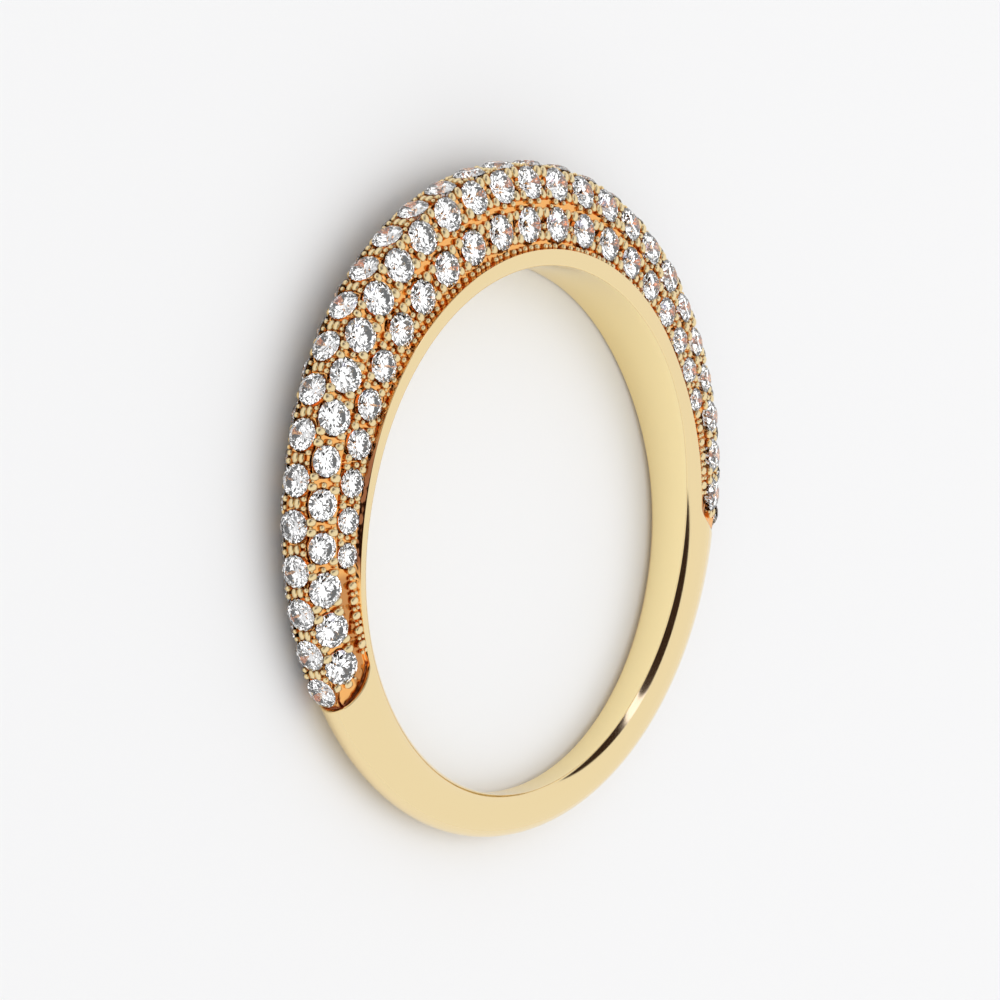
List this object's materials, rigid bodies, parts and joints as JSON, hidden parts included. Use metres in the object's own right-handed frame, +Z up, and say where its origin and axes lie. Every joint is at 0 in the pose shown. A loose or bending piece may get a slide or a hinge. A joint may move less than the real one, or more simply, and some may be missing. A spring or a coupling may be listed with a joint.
{
  "type": "pave band ring",
  "caption": "Yellow gold domed band ring, its head covered with rows of small round white stones in a pave setting.",
  "frame": {"origin": "on the surface that the ring lies on, under the middle of its round outline", "axes": "+Z up, nearly along the finger hole; +Y towards the ring's head; +X across it"},
  "size_m": [0.0216, 0.0215, 0.0027],
  "materials": {
    "gold": "polished",
    "diamond": "polished"
  },
  "bodies": {
    "root": {"band": "gold", "pave_stones": "diamond"}
  },
  "joints": []
}
